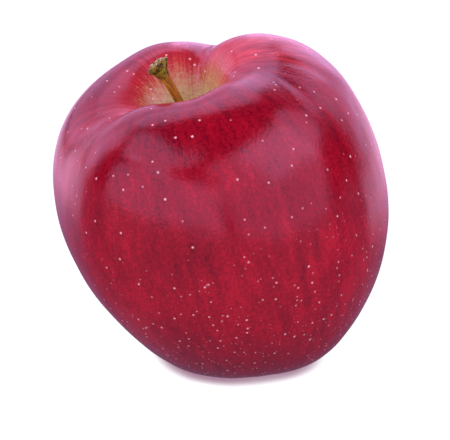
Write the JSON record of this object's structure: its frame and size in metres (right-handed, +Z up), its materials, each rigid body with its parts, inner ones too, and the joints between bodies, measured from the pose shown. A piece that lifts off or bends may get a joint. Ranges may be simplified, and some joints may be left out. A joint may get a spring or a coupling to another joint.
{
  "type": "apple",
  "caption": "Ripe red dessert apple with a woody stem in a deep cavity and a dried flower in the basin below, standing on the feet of its ribs.",
  "frame": {"origin": "on the surface that the apple stands on, below the middle of its outline seen from above", "axes": "+Z up; the apple is seen from -Y, its stem leans towards -X and its highest shoulder is on the +X side"},
  "size_m": [0.0816, 0.0792, 0.0766],
  "materials": {
    "fruit_skin": "satin",
    "stem_bark": "matte",
    "dry_sepal": "matte",
    "dry_stamen": "matte"
  },
  "bodies": {
    "root": {"fruit": "fruit_skin", "stem": "stem_bark", "sepal_1": "dry_sepal", "sepal_2": "dry_sepal", "sepal_3": "dry_sepal", "sepal_4": "dry_sepal", "sepal_5": "dry_sepal", "styles": "dry_stamen", "stamen_1": "dry_stamen", "stamen_2": "dry_stamen", "stamen_3": "dry_stamen", "stamen_4": "dry_stamen", "stamen_5": "dry_stamen", "stamen_6": "dry_stamen", "stamen_7": "dry_stamen", "stamen_8": "dry_stamen", "stamen_9": "dry_stamen", "stamen_10": "dry_stamen", "stamen_11": "dry_stamen", "stamen_12": "dry_stamen", "stamen_13": "dry_stamen", "stamen_14": "dry_stamen", "stamen_15": "dry_stamen", "stamen_16": "dry_stamen", "stamen_17": "dry_stamen", "stamen_18": "dry_stamen", "stamen_19": "dry_stamen", "stamen_20": "dry_stamen"}
  },
  "joints": []
}
